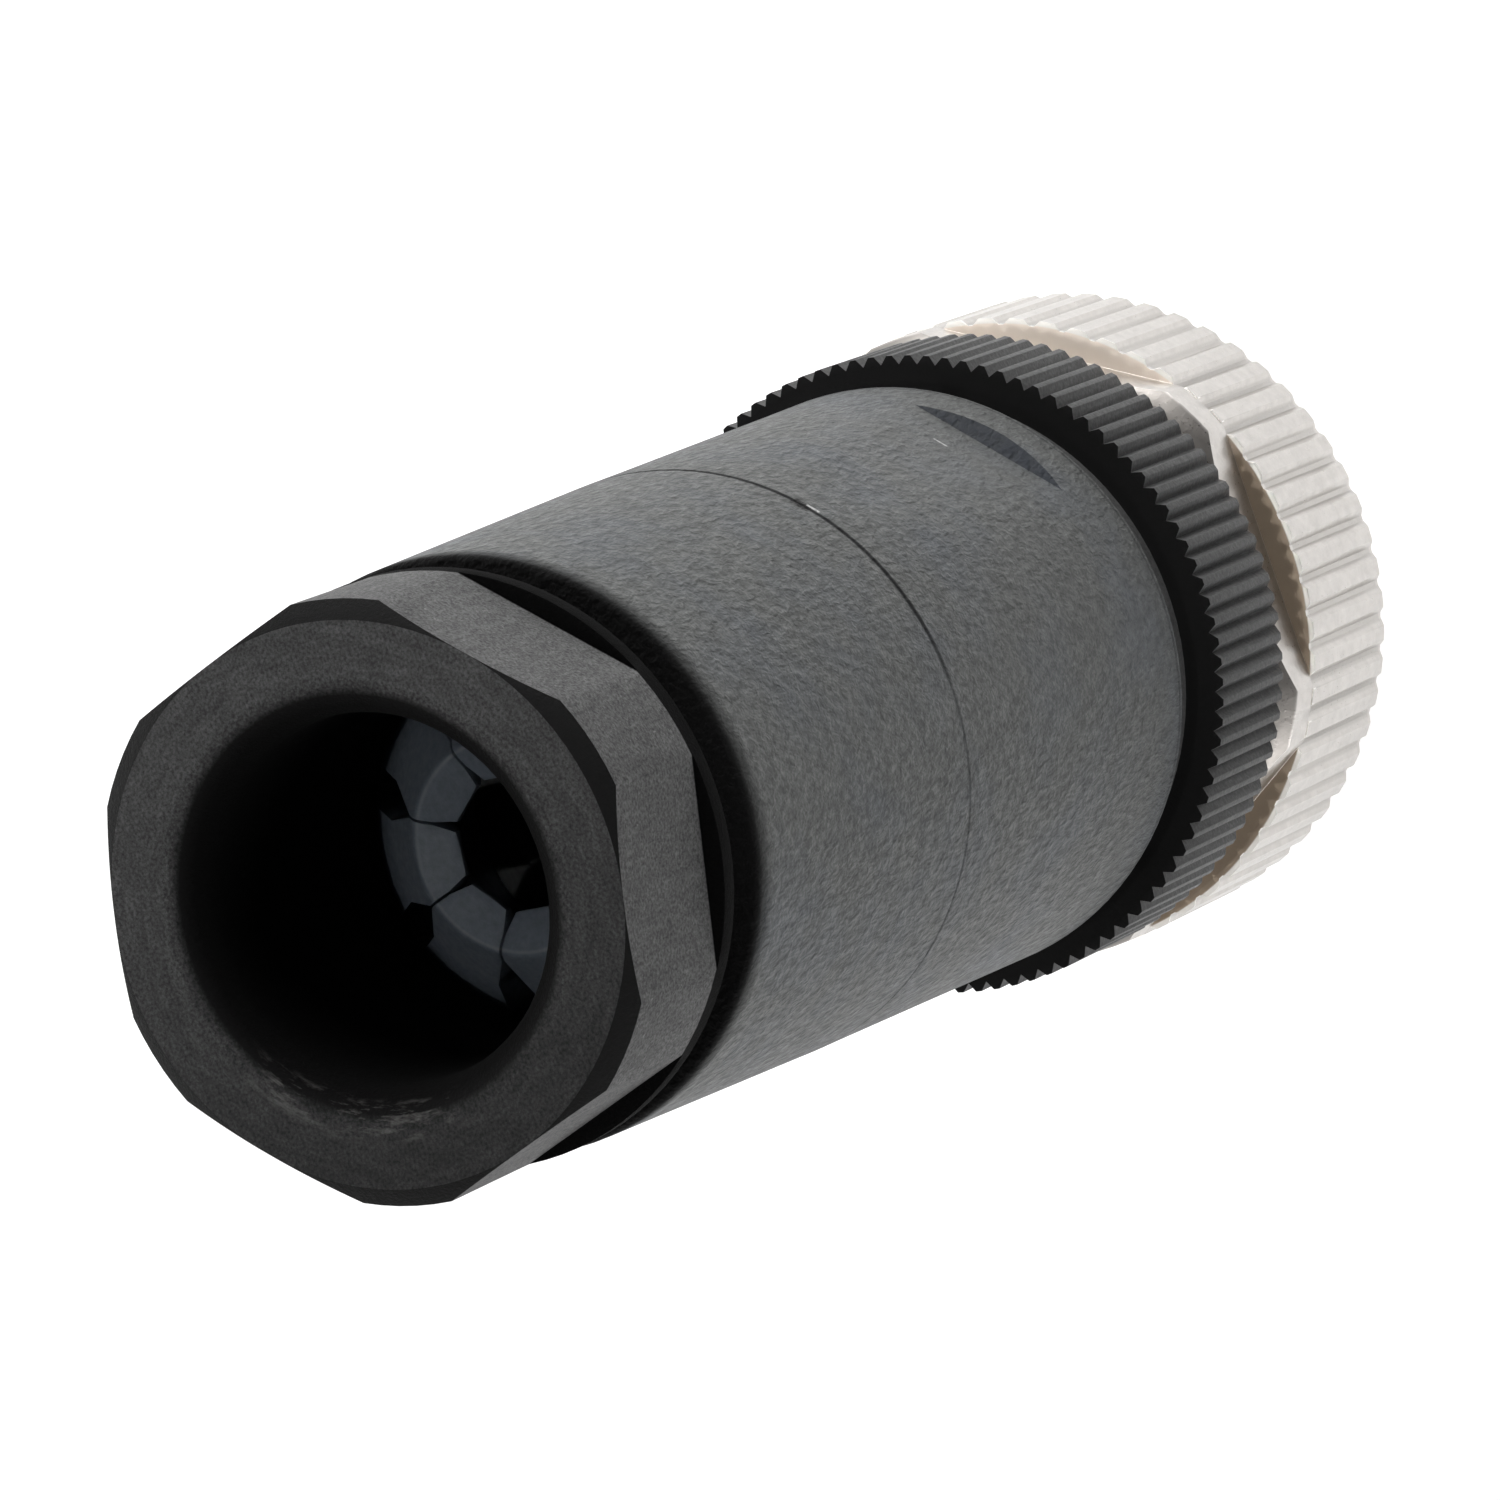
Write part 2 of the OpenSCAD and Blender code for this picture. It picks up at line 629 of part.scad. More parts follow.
// Ring with fingers that lean in to a round ridge and turn down to their tips.
// Two fingers all but meet at the ridge, and the slit opens both ways from there.
module clamping_cage() {
    ring = cage_d / 2;
    root = ring - cage_edge;
    bore = cage_bore / 2;
    ridge = cage_ridge_d / 2;
    tip = cage_tip_d / 2;
    z_ridge = z_cone0 + root - ridge;
    z_tip = z_ridge - cage_tip_drop;
    z_slit = z_root + cage_slit_start;
    side = tip * cos(180 / cage_fingers) - eps;
    color(bluegrey)
        difference() {
            rotate_extrude()
                polygon(concat(
                    [[bore, z_cage0], [ring, z_cage0], [ring, z_root], [root, z_root + cage_edge],
                     [root, z_cone0]],
                    arc([ridge, z_ridge - cage_round * sqrt(2)], cage_round, 45, 110, 4),
                    [[side, z_tip], [side, z_tip - cage_tip_wall],
                     [bore, z_cone0 + root - bore - cage_wall * sqrt(2)]]));
            for (i = [0:cage_fingers - 1])
                rotate(cage_turn + 360 * i / cage_fingers)
                    translate([0, 0, z_slit])
                        linear_extrude(z_ridge - z_slit + 1)
                            slit_outline(tip, tip + cage_notch, ridge + cage_waist, ring + 1);
            rotate(cage_turn)
                translate([0, 0, z_slit]) cylinder(r = tip, h = z_ridge - z_slit + 1, $fn = cage_fingers);
        }
}

// Slit along +X: a notch from x0 to x1, a narrow part to x2, and a mouth that opens towards x3
module slit_outline(x0, x1, x2, x3) {
    w0 = cage_slit_tip / 2;
    w1 = cage_slit / 2;
    w3 = cage_slit_root / 2;
    polygon([[0, -w0], [x0, -w0], [x1, -w1], [x2, -w1], [x2 + cage_flare, -w3], [x3, -w3],
             [x3, w3], [x2 + cage_flare, w3], [x2, w1], [x1, w1], [x0, w0], [0, w0]]);
}

// Six flats cut from a round bar, which leaves a thin collar, on a threaded spigot
// whose end has the cone that closes the cage
module gland_nut() {
    corner = gland_d / 2;
    bore = gland_bore / 2;
    room = gland_room / 2;
    cone = cage_d / 2;
    z_relief = z_collar0 - gland_relief;
    z_room1 = z_top - gland_bore_len;
    color(black)
        difference() {
            rotate_extrude()
                polygon([[0, z_spigot0], [gland_r - thread_edge, z_spigot0],
                         [gland_r, z_spigot0 + thread_edge],
                         [gland_r, z_relief - thread_edge / 2], [gland_r - thread_edge, z_relief],
                         [gland_r - thread_edge, z_collar0], [corner, z_collar0],
                         [corner, z_top - gland_chamfer_h], [corner - gland_chamfer, z_top], [0, z_top]]);
            difference() {
                ring_bar(gland_af / 2 - 1, corner + 1, z_flats0, z_top + 1);
                hex_bar(gland_af, z_flats0 - 1, z_top + 2, gland_turn);
            }
            rotate_extrude()
                polygon(concat(
                    [[0, z_spigot0 - 1], [cone, z_spigot0 - 1], [cone, z_spigot0],
                     [room, z_spigot0 + cone - room],
                     [room, z_room1 - room + bore], [bore, z_room1]],
                    arc([bore + gland_lip, z_top - gland_lip], gland_lip, 180, 90, 8),
                    [[bore + gland_lip, z_top + 1], [0, z_top + 1]]));
        }
}

coupling_nut();
retaining_ring();
face_seal();
body_ring();
contact_carrier();
contact(contact_angles[0]);  // contact_1
contact(contact_angles[1]);  // contact_2
contact(contact_angles[2]);  // contact_3
contact(contact_angles[3]);  // contact_4
wire_guard(contact_angles[0]);  // wire_guard_1
wire_guard(contact_angles[1]);  // wire_guard_2
wire_guard(contact_angles[2]);  // wire_guard_3
wire_guard(contact_angles[3]);  // wire_guard_4
terminal_screws();
sleeve_seal();
sleeve();
cable_seal();
clamping_cage();
gland_nut();
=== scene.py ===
import bmesh
import bpy
import math
from mathutils import Matrix, Vector


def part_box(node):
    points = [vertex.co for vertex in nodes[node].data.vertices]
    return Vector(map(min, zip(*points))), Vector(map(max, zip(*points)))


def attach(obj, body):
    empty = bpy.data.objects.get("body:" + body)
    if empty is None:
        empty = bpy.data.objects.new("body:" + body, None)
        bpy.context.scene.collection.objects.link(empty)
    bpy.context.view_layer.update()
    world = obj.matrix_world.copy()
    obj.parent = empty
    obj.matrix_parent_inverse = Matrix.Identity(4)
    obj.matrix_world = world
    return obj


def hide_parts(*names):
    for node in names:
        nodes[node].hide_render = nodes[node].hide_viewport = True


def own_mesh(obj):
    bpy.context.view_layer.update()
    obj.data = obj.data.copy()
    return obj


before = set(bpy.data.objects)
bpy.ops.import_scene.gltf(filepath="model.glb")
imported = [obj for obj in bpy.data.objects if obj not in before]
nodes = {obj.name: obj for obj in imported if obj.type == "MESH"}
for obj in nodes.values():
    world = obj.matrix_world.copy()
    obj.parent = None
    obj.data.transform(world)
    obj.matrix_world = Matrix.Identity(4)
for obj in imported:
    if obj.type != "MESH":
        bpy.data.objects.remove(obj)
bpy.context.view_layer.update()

MM = 0.001

# Places on the CAD pieces, in millimetres: _Z along the axis, from the mating face to the cable
# entry, and _R out from it.
SLEEVE_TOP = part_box("sleeve")[1][2] / MM
MOULD_LINE = SLEEVE_TOP - 13.5
MOULD_LINE_HALF = 0.12
SLEEVE_END_SHADE = SLEEVE_TOP - 0.9
SLEEVE_FLAT_Z = (16.6, 24.0)
SLEEVE_SLOPE_Z = (15.6, 17.2)
SLEEVE_RING_Z = (14.66, 14.78)
GLAND_SHADE_Z = (43.4, 45.26)
GLAND_WIDTH = 16
GLAND_SCUFF_R = (5.7, 6.6)
CAGE_RIDGE_R = (3.06, 3.16)
KNURL_FLOOR_R = (9.8, 10.12)
KNURL_Z = (0.5, 6.25)
KNURL_END_Z = (6.1, 6.4)
LEDGE_R = (8, 11)
LEDGE_RIM_R = (10.08, 11)
HEX_CHAMFER_Z = (7.52, 8.1)

# The way round, in degrees from +X.
MOULD_LINE_TURN = -45
SLEEVE_FLAT_TURN = -44
LEDGE_BRIGHT_TURN = -30
GLAND_SCUFF_TURN = 150

# More than any cosine.
BEYOND = 2


# ---------------------------------------------------------------- materials

def grey(value):
    return (value, value, value)


class Shader:
    """A principled material with its node tree, in object coordinates counted in millimetres.

    Every material links its roughness: the plain value is for a viewer that can't read nodes."""

    def __init__(self, name, rough, metallic=0.0, specular=0.5):
        self.mat = bpy.data.materials.new(name)
        self.mat.use_nodes = True
        self.tree = self.mat.node_tree
        self.tree.nodes.clear()
        self.out = self.node("ShaderNodeOutputMaterial")
        self.bsdf = self.node("ShaderNodeBsdfPrincipled")
        self.bsdf.inputs["Roughness"].default_value = rough
        self.bsdf.inputs["Metallic"].default_value = metallic
        self.bsdf.inputs["Specular IOR Level"].default_value = specular
        self.link(self.bsdf.outputs[0], self.out.inputs[0])
        coord = self.node("ShaderNodeTexCoord")
        scale = self.node("ShaderNodeVectorMath", operation="SCALE")
        scale.inputs["Scale"].default_value = 1000
        self.link(coord.outputs["Object"], scale.inputs[0])
        self.mm = scale.outputs[0]
        self.height = None

    def node(self, kind, **props):
        n = self.tree.nodes.new(kind)
        for key, value in props.items():
            setattr(n, key, value)
        return n

    def link(self, a, b):
        self.tree.links.new(a, b)

    # values

    def math(self, operation, a, b=None):
        n = self.node("ShaderNodeMath", operation=operation)
        for i, v in enumerate((a, b)):
            if v is None:
                continue
            if isinstance(v, (int, float)):
                n.inputs[i].default_value = v
            else:
                self.link(v, n.inputs[i])
        return n.outputs[0]

    def times(self, a, b):
        return self.math("MULTIPLY", a, b)

    def larger(self, a, b):
        return self.math("MAXIMUM", a, b)

    def ramp(self, value, *stops):
        """Value turned into a colour or a grey, between stops of (place, colour)."""
        n = self.node("ShaderNodeValToRGB")
        ramp = n.color_ramp
        while len(ramp.elements) < len(stops):
            ramp.elements.new(0.5)
        for element, (at, colour) in zip(ramp.elements, stops):
            element.position = at
            if isinstance(colour, (int, float)):
                colour = grey(colour)
            element.color = (*colour, 1)
        self.link(value, n.inputs[0])
        return n.outputs[0]

    def mix(self, share, a, b, blend="MIX"):
        n = self.node("ShaderNodeMix", data_type="RGBA", blend_type=blend)
        for socket, v in ((n.inputs[0], share), (n.inputs[6], a), (n.inputs[7], b)):
            if isinstance(v, (int, float)):
                socket.default_value = v
            elif isinstance(v, tuple):
                socket.default_value = (*v, 1)
            else:
                self.link(v, socket)
        return n.outputs[2]

    def product(self, a, b):
        """Two colours multiplied."""
        return self.mix(1.0, a, b, "MULTIPLY")

    def between(self, span, soft, value):
        """1 where value is from the span's low end to its high end, with soft edges."""
        low, high = span
        up = self.node("ShaderNodeMapRange", interpolation_type="SMOOTHSTEP")
        down = self.node("ShaderNodeMapRange", interpolation_type="SMOOTHSTEP")
        for n, a, b in ((up, low - soft, low + soft), (down, high + soft, high - soft)):
            n.inputs["From Min"].default_value = a
            n.inputs["From Max"].default_value = b
            self.link(value, n.inputs["Value"])
        return self.times(up.outputs[0], down.outputs[0])

    # places

    def stretch(self, x, y, z):
        n = self.node("ShaderNodeVectorMath", operation="MULTIPLY")
        n.inputs[1].default_value = (x, y, z)
        self.link(self.mm, n.inputs[0])
        return n.outputs[0]

    def warp(self, size, amount, scale):
        """The place in millimetres, scaled and shifted by noise, which bends the grain."""
        n = self.node("ShaderNodeTexNoise")
        n.inputs["Scale"].default_value = 1 / size
        self.link(self.mm, n.inputs["Vector"])
        push = self.node("ShaderNodeVectorMath", operation="SCALE")
        push.inputs["Scale"].default_value = amount
        self.link(n.outputs["Color"], push.inputs[0])
        add = self.node("ShaderNodeVectorMath", operation="ADD")
        self.link(self.stretch(*scale), add.inputs[0])
        self.link(push.outputs[0], add.inputs[1])
        return add.outputs[0]

    def axes(self):
        """x, y, z in millimetres, and the distance from the axis."""
        n = self.node("ShaderNodeSeparateXYZ")
        self.link(self.mm, n.inputs[0])
        x, y, z = n.outputs
        r = self.math("SQRT", self.math("ADD", self.times(x, x), self.times(y, y)))
        return x, y, z, r

    def polar(self, along):
        """Radius, way round times that share, and height: for marks that run round the axis."""
        mean_radius = 7
        x, y, z, r = self.axes()
        n = self.node("ShaderNodeMath", operation="ARCTAN2")
        self.link(y, n.inputs[0])
        self.link(x, n.inputs[1])
        way = self.times(n.outputs[0], mean_radius * along)
        out = self.node("ShaderNodeCombineXYZ")
        self.link(r, out.inputs[0])
        self.link(way, out.inputs[1])
        self.link(z, out.inputs[2])
        return out.outputs[0]

    def facing(self):
        """How far the surface looks towards +Z, the cable end, from 0 to 1."""
        coord = self.node("ShaderNodeTexCoord")
        n = self.node("ShaderNodeSeparateXYZ")
        self.link(coord.outputs["Normal"], n.inputs[0])
        return self.larger(n.outputs[2], 0)

    def about(self, degrees):
        """The cosine of the way round from that angle."""
        x, y, z, r = self.axes()
        turn = math.radians(degrees)
        along = self.math("ADD", self.times(x, math.cos(turn)), self.times(y, math.sin(turn)))
        return self.math("DIVIDE", along, r)

    def spot(self, degrees, half_turn, level, half_height):
        """1 on a small mark at that angle and height."""
        z = self.axes()[2]
        edge = math.cos(math.radians(half_turn))
        return self.times(self.between((edge, BEYOND), (1 - edge) / 3, self.about(degrees)),
                          self.between((level - half_height, level + half_height),
                                       half_height / 3, z))

    def noise(self, size, detail, rough, vector=None):
        """Noise with features of about that many millimetres."""
        n = self.node("ShaderNodeTexNoise")
        n.inputs["Scale"].default_value = 1 / size
        n.inputs["Detail"].default_value = detail
        n.inputs["Roughness"].default_value = rough
        self.link(vector or self.mm, n.inputs["Vector"])
        return n.outputs["Fac"]

    # what the shader takes

    def colour(self, c):
        self.link(c, self.bsdf.inputs["Base Color"])

    def rough(self, r):
        self.link(r, self.bsdf.inputs["Roughness"])

    def bump(self, height, depth, strength):
        """Adds bump of that many millimetres over the bump so far."""
        n = self.node("ShaderNodeBump")
        n.inputs["Strength"].default_value = strength
        n.inputs["Distance"].default_value = depth * MM
        self.link(height, n.inputs["Height"])
        if self.height is not None:
            self.link(self.height, n.inputs["Normal"])
        self.height = n.outputs[0]
        self.link(self.height, self.bsdf.inputs["Normal"])


def sleeve_plastic():
    """Charcoal nylon: the fine grain of an eroded mould, bluish clouds and a few pale specks."""
    s = Shader("charcoal_nylon", 0.5, specular=0.24)
    x, y, z, r = s.axes()
    up = s.facing()
    grain = s.noise(0.14, 3, 0.7, s.stretch(1, 1, 0.7))
    worm = s.noise(0.27, 2, 0.6, s.warp(0.5, 0.25, (1, 1, 0.55)))
    cloud = s.noise(4.0, 3, 0.6)
    tone = s.ramp(grain, (0.30, (0.061, 0.0635, 0.062)), (0.5, (0.0855, 0.0885, 0.0865)),
                  (0.70, (0.1175, 0.121, 0.1185)))
    tone = s.mix(s.ramp(cloud, (0.45, 0.0), (0.68, 0.55)), tone, (0.080, 0.089, 0.102))
    tone = s.product(tone, s.ramp(worm, (0.32, 0.82), (0.68, 1.18)))
    specks = s.ramp(s.noise(0.22, 1, 0.5), (0.76, 0.0), (0.80, 0.6))
    tone = s.mix(specks, tone, (0.20, 0.205, 0.21))
    # the mould line: painted shade in its crease, dark and sharp round the flat and faint
    # elsewhere, with a nick painted black as painted shade and a painted glint beside it
    line = s.times(s.between((MOULD_LINE - MOULD_LINE_HALF, MOULD_LINE + MOULD_LINE_HALF), 0.05, z),
                   s.ramp(s.about(MOULD_LINE_TURN), (0.62, 0.12), (0.80, 0.85)))
    tone = s.mix(line, tone, (0.008, 0.008, 0.009))
    tone = s.mix(s.spot(-48.6, 2.0, MOULD_LINE, 0.30), tone, grey(0.003))
    tone = s.mix(s.spot(-50.4, 1.4, MOULD_LINE - 0.24, 0.07), tone, grey(0.45))
    # the flat, painted lighter as a painted sheen, the slope at its low end painted dark as painted
    # shade, and a scuff beside it
    flat_sheen = s.times(s.between(SLEEVE_FLAT_Z, 0.3, z),
                   s.ramp(s.about(SLEEVE_FLAT_TURN), (0.965, 0.0), (0.975, 0.30)))
    tone = s.mix(flat_sheen, tone, (0.130, 0.133, 0.131))
    slope_shade = s.times(s.between(SLEEVE_SLOPE_Z, 0.2, z), s.ramp(up, (0.25, 0.0), (0.45, 0.9)))
    slope_shade_mottled = s.times(slope_shade, s.ramp(worm, (0.3, 0.7), (0.7, 1.0)))
    tone = s.mix(slope_shade_mottled, tone, (0.030, 0.034, 0.043))
    tone = s.mix(s.spot(-44.7, 1.6, 18.6, 0.05), tone, grey(0.42))
    # painted shade: a fine dark ring behind the low edge, and the top end painted nearly black for
    # the shadow of the gland nut
    tone = s.mix(s.times(s.between(SLEEVE_RING_Z, 0.03, z), 0.6), tone, (0.012, 0.012, 0.013))
    end_shade = s.ramp(s.math("SUBTRACT", z, SLEEVE_END_SHADE), (0.0, 0.0), (0.85, 1.0))
    s.colour(s.mix(end_shade, tone, grey(0.001)))
    dull = s.larger(end_shade, s.larger(line, slope_shade))
    s.rough(s.mix(dull, s.ramp(worm, (0.3, 0.58), (0.7, 0.42)), grey(0.95)))
    s.bump(worm, 0.17, 1.0)
    s.bump(grain, 0.04, 0.8)
    return s.mat


def nut_plastic():
    """Black nylon: streaked flats, a turned end face darker than the flats, partly as painted
    shade, a mouth painted black as painted shade, scuffs from cables.
    """
    s = Shader("black_nylon", 0.5, specular=0.07)
    x, y, z, r = s.axes()
    up = s.facing()
    grain = s.noise(0.10, 3, 0.7)
    streak = s.noise(0.35, 4, 0.7, s.stretch(1, 1, 0.3))
    rings = s.noise(0.30, 4, 0.7, s.polar(0.3))
    speckle = s.ramp(grain, (0.32, 0.50), (0.68, 1.50))
    flats = s.product(s.ramp(streak, (0.25, 0.080), (0.5, 0.106), (0.75, 0.136)), speckle)
    specks = s.ramp(s.noise(0.25, 1, 0.5), (0.77, 0.0), (0.81, 0.7))
    flats = s.mix(specks, flats, grey(0.28))
    face = s.product(s.ramp(rings, (0.25, 0.044), (0.5, 0.062), (0.78, 0.092)), speckle)
    # painted shade: the end face darker towards -X, the side away from the top light
    shade_across = s.math("ADD", s.math("DIVIDE", x, GLAND_WIDTH), 0.5)
    face = s.product(face, s.ramp(shade_across, (0.1, 0.5), (0.8, 1.0)))
    # painted shade: the chamfers are painted nearly black, and so is what lies in the shadow before
    # the sleeve
    tone = s.mix(s.ramp(up, (0.10, 0.0), (0.30, 1.0)), flats, grey(0.008))
    tone = s.mix(s.ramp(up, (0.90, 0.0), (0.97, 1.0)), tone, face)
    low = s.between(GLAND_SHADE_Z, 0.03, z)
    tone = s.mix(low, tone, grey(0.0015))
    # the mouth painted nearly black as painted shade, with an uneven edge, and the scuffs on its
    # low side
    mouth_edge = s.math("ADD", s.math("DIVIDE", r, 10), s.times(grain, 0.04))
    mouth = s.ramp(mouth_edge, (0.575, 1.0), (0.660, 0.0))
    tone = s.mix(mouth, tone, grey(0.002))
    low_side = s.times(s.ramp(s.about(GLAND_SCUFF_TURN), (0.80, 0.0), (0.93, 1.0)),
                       s.between(GLAND_SCUFF_R, 0.3, r))
    scratches = s.ramp(s.noise(0.30, 4, 0.75, s.polar(0.2)), (0.52, 0.0), (0.72, 1.0))
    scuffs = s.times(low_side, scratches)
    s.colour(s.mix(s.times(scuffs, 0.6), tone, (0.17, 0.165, 0.16)))
    s.rough(s.mix(s.larger(mouth, low), s.ramp(grain, (0.3, 0.66), (0.7, 0.50)), grey(0.9)))
    s.bump(streak, 0.04, 0.5)
    s.bump(grain, 0.05, 0.9)
    return s.mat


def ring_plastic():
    """Black nylon of grip ring and insert, painted nearly black as painted shade and duller on the
    faces towards the sleeve.
    """
    s = Shader("black_ring_nylon", 0.5, specular=0.22)
    grain = s.noise(0.13, 3, 0.65)
    # painted shade: the faces towards the sleeve are nearly black
    up = s.ramp(s.facing(), (0.5, 0.0), (0.9, 1.0))
    tone = s.ramp(grain, (0.25, 0.049), (0.5, 0.067), (0.75, 0.090))
    s.colour(s.mix(up, tone, grey(0.004)))
    s.rough(s.mix(up, s.ramp(grain, (0.3, 0.56), (0.7, 0.42)), grey(0.95)))
    s.bump(grain, 0.03, 0.6)
    return s.mat


def cage_plastic():
    """Blue-grey nylon, with a painted highlight along the ridge and painted shade outwards."""
    s = Shader("blue_grey_nylon", 0.45, specular=0.4)
    x, y, z, r = s.axes()
    grain = s.noise(0.22, 3, 0.65)
    # painted highlight: paler along the ridge's rounded edge
    ridge_highlight = s.between(CAGE_RIDGE_R, 0.04, r)
    tone = s.ramp(grain, (0.3, (0.145, 0.168, 0.200)), (0.7, (0.185, 0.212, 0.250)))
    tone = s.mix(s.times(ridge_highlight, 0.28), tone, (0.40, 0.44, 0.47))
    # painted shade: darker outwards, where the bore shades the fingers
    outward_shade = s.ramp(s.math("DIVIDE", r, 10), (0.45, 1.0), (0.58, 0.35))
    s.colour(s.product(tone, outward_shade))
    s.rough(s.ramp(grain, (0.3, 0.56), (0.7, 0.42)))
    s.bump(grain, 0.03, 0.5)
    return s.mat


def nickel():
    """Satin nickel plate on turned brass, with painted shade and painted highlights: browner on the
    turned faces behind the teeth.
    """
    s = Shader("satin_nickel", 0.33, metallic=1.0)
    fine = s.noise(0.09, 3, 0.65)
    cast = s.noise(0.45, 3, 0.6)
    pale = s.ramp(cast, (0.25, (0.53, 0.507, 0.485)), (0.75, (0.64, 0.612, 0.585)))
    x, y, z, r = s.axes()
    up = s.facing()
    # painted shade: the floors of the knurl are painted darker
    upright = s.ramp(up, (0.2, 1.0), (0.4, 0.0))
    floor_shade = s.times(s.between(KNURL_FLOOR_R, 0.04, r),
                     s.times(upright, s.between(KNURL_Z, 0.05, z)))
    tone = s.mix(floor_shade, pale, (0.49, 0.468, 0.445))
    # the turned ledges behind the teeth are painted brown as painted shade and painted reflection,
    # lighter on one side as painted light, with a painted highlight on their rim
    ledges = s.times(s.ramp(up, (0.80, 0.0), (0.95, 1.0)), s.between(LEDGE_R, 0.04, r))
    bright_side = s.ramp(s.about(LEDGE_BRIGHT_TURN), (0.70, 0.0), (0.90, 1.0))
    ledge_tone = s.mix(bright_side, (0.42, 0.34, 0.26), (0.98, 0.88, 0.78))
    ledge_tone = s.mix(s.between(LEDGE_RIM_R, 0.03, r), ledge_tone, (1.0, 0.97, 0.92))
    tone = s.mix(ledges, tone, ledge_tone)
    # the chamfer on the hexagon's corners is painted dark as painted shade, and the cut ends of the
    # teeth get a painted highlight
    chamfer_shade = s.times(s.between((0.55, 0.85), 0.08, up), s.between(HEX_CHAMFER_Z, 0.05, z))
    tone = s.mix(chamfer_shade, tone, (0.25, 0.235, 0.22))
    tooth_end_highlight = s.times(s.between((0.25, 0.80), 0.1, up), s.between(KNURL_END_Z, 0.03, z))
    s.colour(s.mix(tooth_end_highlight, tone, (1.0, 0.98, 0.95)))
    s.rough(s.mix(ledges, s.ramp(fine, (0.3, 0.40), (0.7, 0.26)), grey(0.55)))
    s.bump(cast, 0.03, 0.35)
    s.bump(fine, 0.012, 0.5)
    return s.mat


def plain(name, rough, size, colours, roughs, depth, metallic=0.0, specular=0.5):
    """One fine noise in the colour, the roughness and the relief, for the pieces inside."""
    s = Shader(name, rough, metallic, specular)
    fine = s.noise(size, 3, 0.6)
    s.colour(s.ramp(fine, (0.3, colours[0]), (0.7, colours[1])))
    s.rough(s.ramp(fine, (0.3, roughs[0]), (0.7, roughs[1])))
    s.bump(fine, depth, 0.4)
    return s.mat


steel = plain("zinc_steel", 0.35, 0.15, ((0.52, 0.53, 0.55), (0.63, 0.64, 0.65)), (0.42, 0.3),
              0.01, metallic=1.0)
gold = plain("gold_plate", 0.28, 0.12, ((0.82, 0.6, 0.25), (0.92, 0.7, 0.33)), (0.33, 0.24),
             0.008, metallic=1.0)
rubber = plain("black_rubber", 0.62, 0.2, (0.018, 0.028), (0.7, 0.55), 0.02, specular=0.4)
black_ring = ring_plastic()
looks = {"coupling_nut": nickel(), "retaining_ring": steel, "terminal_screws": steel,
         "face_seal": rubber, "sleeve_seal": rubber, "cable_seal": rubber,
         "body_ring": black_ring, "contact_carrier": black_ring, "sleeve": sleeve_plastic(),
         "clamping_cage": cage_plastic(), "gland_nut": nut_plastic()}
for i in range(1, 5):
    looks["contact_%d" % i] = gold
    looks["wire_guard_%d" % i] = steel

for name, obj in nodes.items():
    if not obj.material_slots:
        obj.data.materials.append(looks[name])
    for slot in obj.material_slots:
        slot.material = looks[name]


# ---------------------------------------------------------------- edges and threads

def thread_tool(name, radius, root, low, high):
    """A V-shaped bar that winds round the axis from low to high, one millimetre a turn.

    It reaches from just off the surface, at radius, to the thread's root. It isn't linked to
    the scene: only a modifier uses it."""
    pitch = 1.0
    steps = 48
    half = pitch * 0.46
    over = radius + (radius - root) * 0.25
    bm = bmesh.new()
    loops = []
    for i in range(int((high - low) / pitch * steps) + 1):
        way = math.tau * i / steps
        z = low + pitch * i / steps
        corners = ((over, -half), (root, 0), (over, half))
        loops.append([bm.verts.new((r * math.cos(way) * MM, r * math.sin(way) * MM, (z + dz) * MM))
                      for r, dz in corners])
    for a, b in zip(loops, loops[1:]):
        for j in range(3):
            k = (j + 1) % 3
            bm.faces.new((a[j], a[k], b[k], b[j]))
    bm.faces.new(loops[0])
    bm.faces.new(loops[-1])
    bmesh.ops.recalc_face_normals(bm, faces=bm.faces)
    mesh = bpy.data.meshes.new(name)
    bm.to_mesh(mesh)
    bm.free()
    return bpy.data.objects.new(name, mesh)


def soften(obj, width, tool=None):
    """Joins an object's faces, rounds its edges by width in millimetres, and cuts its thread."""
    for p in obj.data.polygons:
        p.use_smooth = True
    weld = obj.modifiers.new("weld", "WELD")
    weld.merge_threshold = 1e-6
    bevel = obj.modifiers.new("bevel", "BEVEL")
    bevel.width = width * MM
    bevel.segments = 2
    bevel.limit_method = "ANGLE"
    bevel.angle_limit = math.radians(28)
    if tool:
        cut = obj.modifiers.new("thread", "BOOLEAN")
        cut.operation = "DIFFERENCE"
        cut.solver = "EXACT"
        cut.object = tool
        tool.parent = obj
    normal = obj.modifiers.new("normal", "WEIGHTED_NORMAL")
    normal.keep_sharp = True
    normal.weight = 80


tube_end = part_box("body_ring")[1][2] / MM
spigot_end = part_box("gland_nut")[0][2] / MM
nut_thread_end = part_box("face_seal")[1][2] / MM - 0.6
tools = {"coupling_nut": thread_tool("nut_tap", 5.45, 6.02, -0.6, nut_thread_end),
         "body_ring": thread_tool("tube_die", 7.9, 7.35, tube_end - 5.0, tube_end + 0.6),
         "gland_nut": thread_tool("gland_die", 6.9, 6.35, spigot_end + 0.9, spigot_end + 4.8)}
edges = {"coupling_nut": 0.06, "gland_nut": 0.12, "sleeve": 0.04}
small_edge = 0.03
for name, obj in nodes.items():
    soften(obj, edges.get(name, small_edge), tools.get(name))

# The soft cable seal shortens as the cage presses on it, by as much as the cage moves. Here a copy
# of it, with its own mesh and on a body of its own, takes its place.
seal = bpy.data.objects.new("soft_cable_seal", nodes["cable_seal"].data.copy())
bpy.context.collection.objects.link(seal)
soften(seal, 0.05)
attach(seal, "seal")
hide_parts("cable_seal")
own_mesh(seal)


